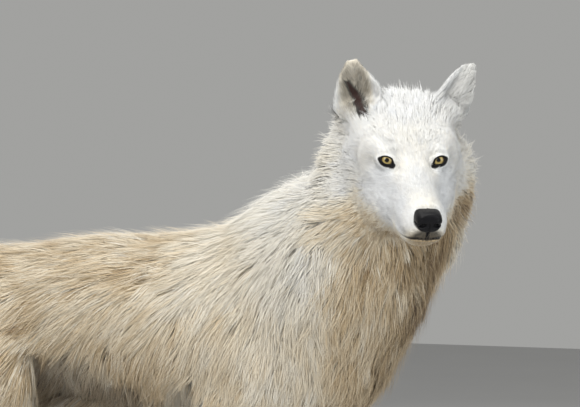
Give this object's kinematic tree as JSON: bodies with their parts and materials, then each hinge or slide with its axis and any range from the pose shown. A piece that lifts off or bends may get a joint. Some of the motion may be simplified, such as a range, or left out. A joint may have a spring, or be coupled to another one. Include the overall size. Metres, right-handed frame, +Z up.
{
  "type": "arctic wolf",
  "caption": "Life-size standing arctic wolf with a long pale coat, head turned to its right, ears up and tail hanging, at rest on its four paws.",
  "frame": {"origin": "on the floor, under the middle of the whole animal's bounding box", "axes": "+X from the rump to the chest, +Y to the wolf's left, +Z up"},
  "size_m": [1.1618, 0.4206, 1.0061],
  "materials": {
    "coat_white": "short soft white fur",
    "coat_cream": "long soft cream fur with brown streaks",
    "coat_tan": "long soft tan mane",
    "eye": "wet and glossy",
    "nose": "moist, finely pebbled black skin",
    "claw": "dark satin horn"
  },
  "bodies": {
    "root": {"head": "coat_white", "lower_jaw": "coat_white", "nose": "nose", "eye_left": "eye", "eye_right": "eye", "ear_left": "coat_white", "ear_right": "coat_white", "neck": "coat_tan", "trunk": "coat_cream", "tail": "coat_cream", "front_leg_left": "coat_cream", "front_leg_right": "coat_cream", "rear_leg_left": "coat_cream", "rear_leg_right": "coat_cream", "paw_front_left": "coat_white", "paw_front_right": "coat_white", "paw_rear_left": "coat_white", "paw_rear_right": "coat_white", "claw_front_left_1": "claw", "claw_front_left_2": "claw", "claw_front_left_3": "claw", "claw_front_left_4": "claw", "claw_front_right_1": "claw", "claw_front_right_2": "claw", "claw_front_right_3": "claw", "claw_front_right_4": "claw", "claw_rear_left_1": "claw", "claw_rear_left_2": "claw", "claw_rear_left_3": "claw", "claw_rear_left_4": "claw", "claw_rear_right_1": "claw", "claw_rear_right_2": "claw", "claw_rear_right_3": "claw", "claw_rear_right_4": "claw"}
  },
  "joints": []
}
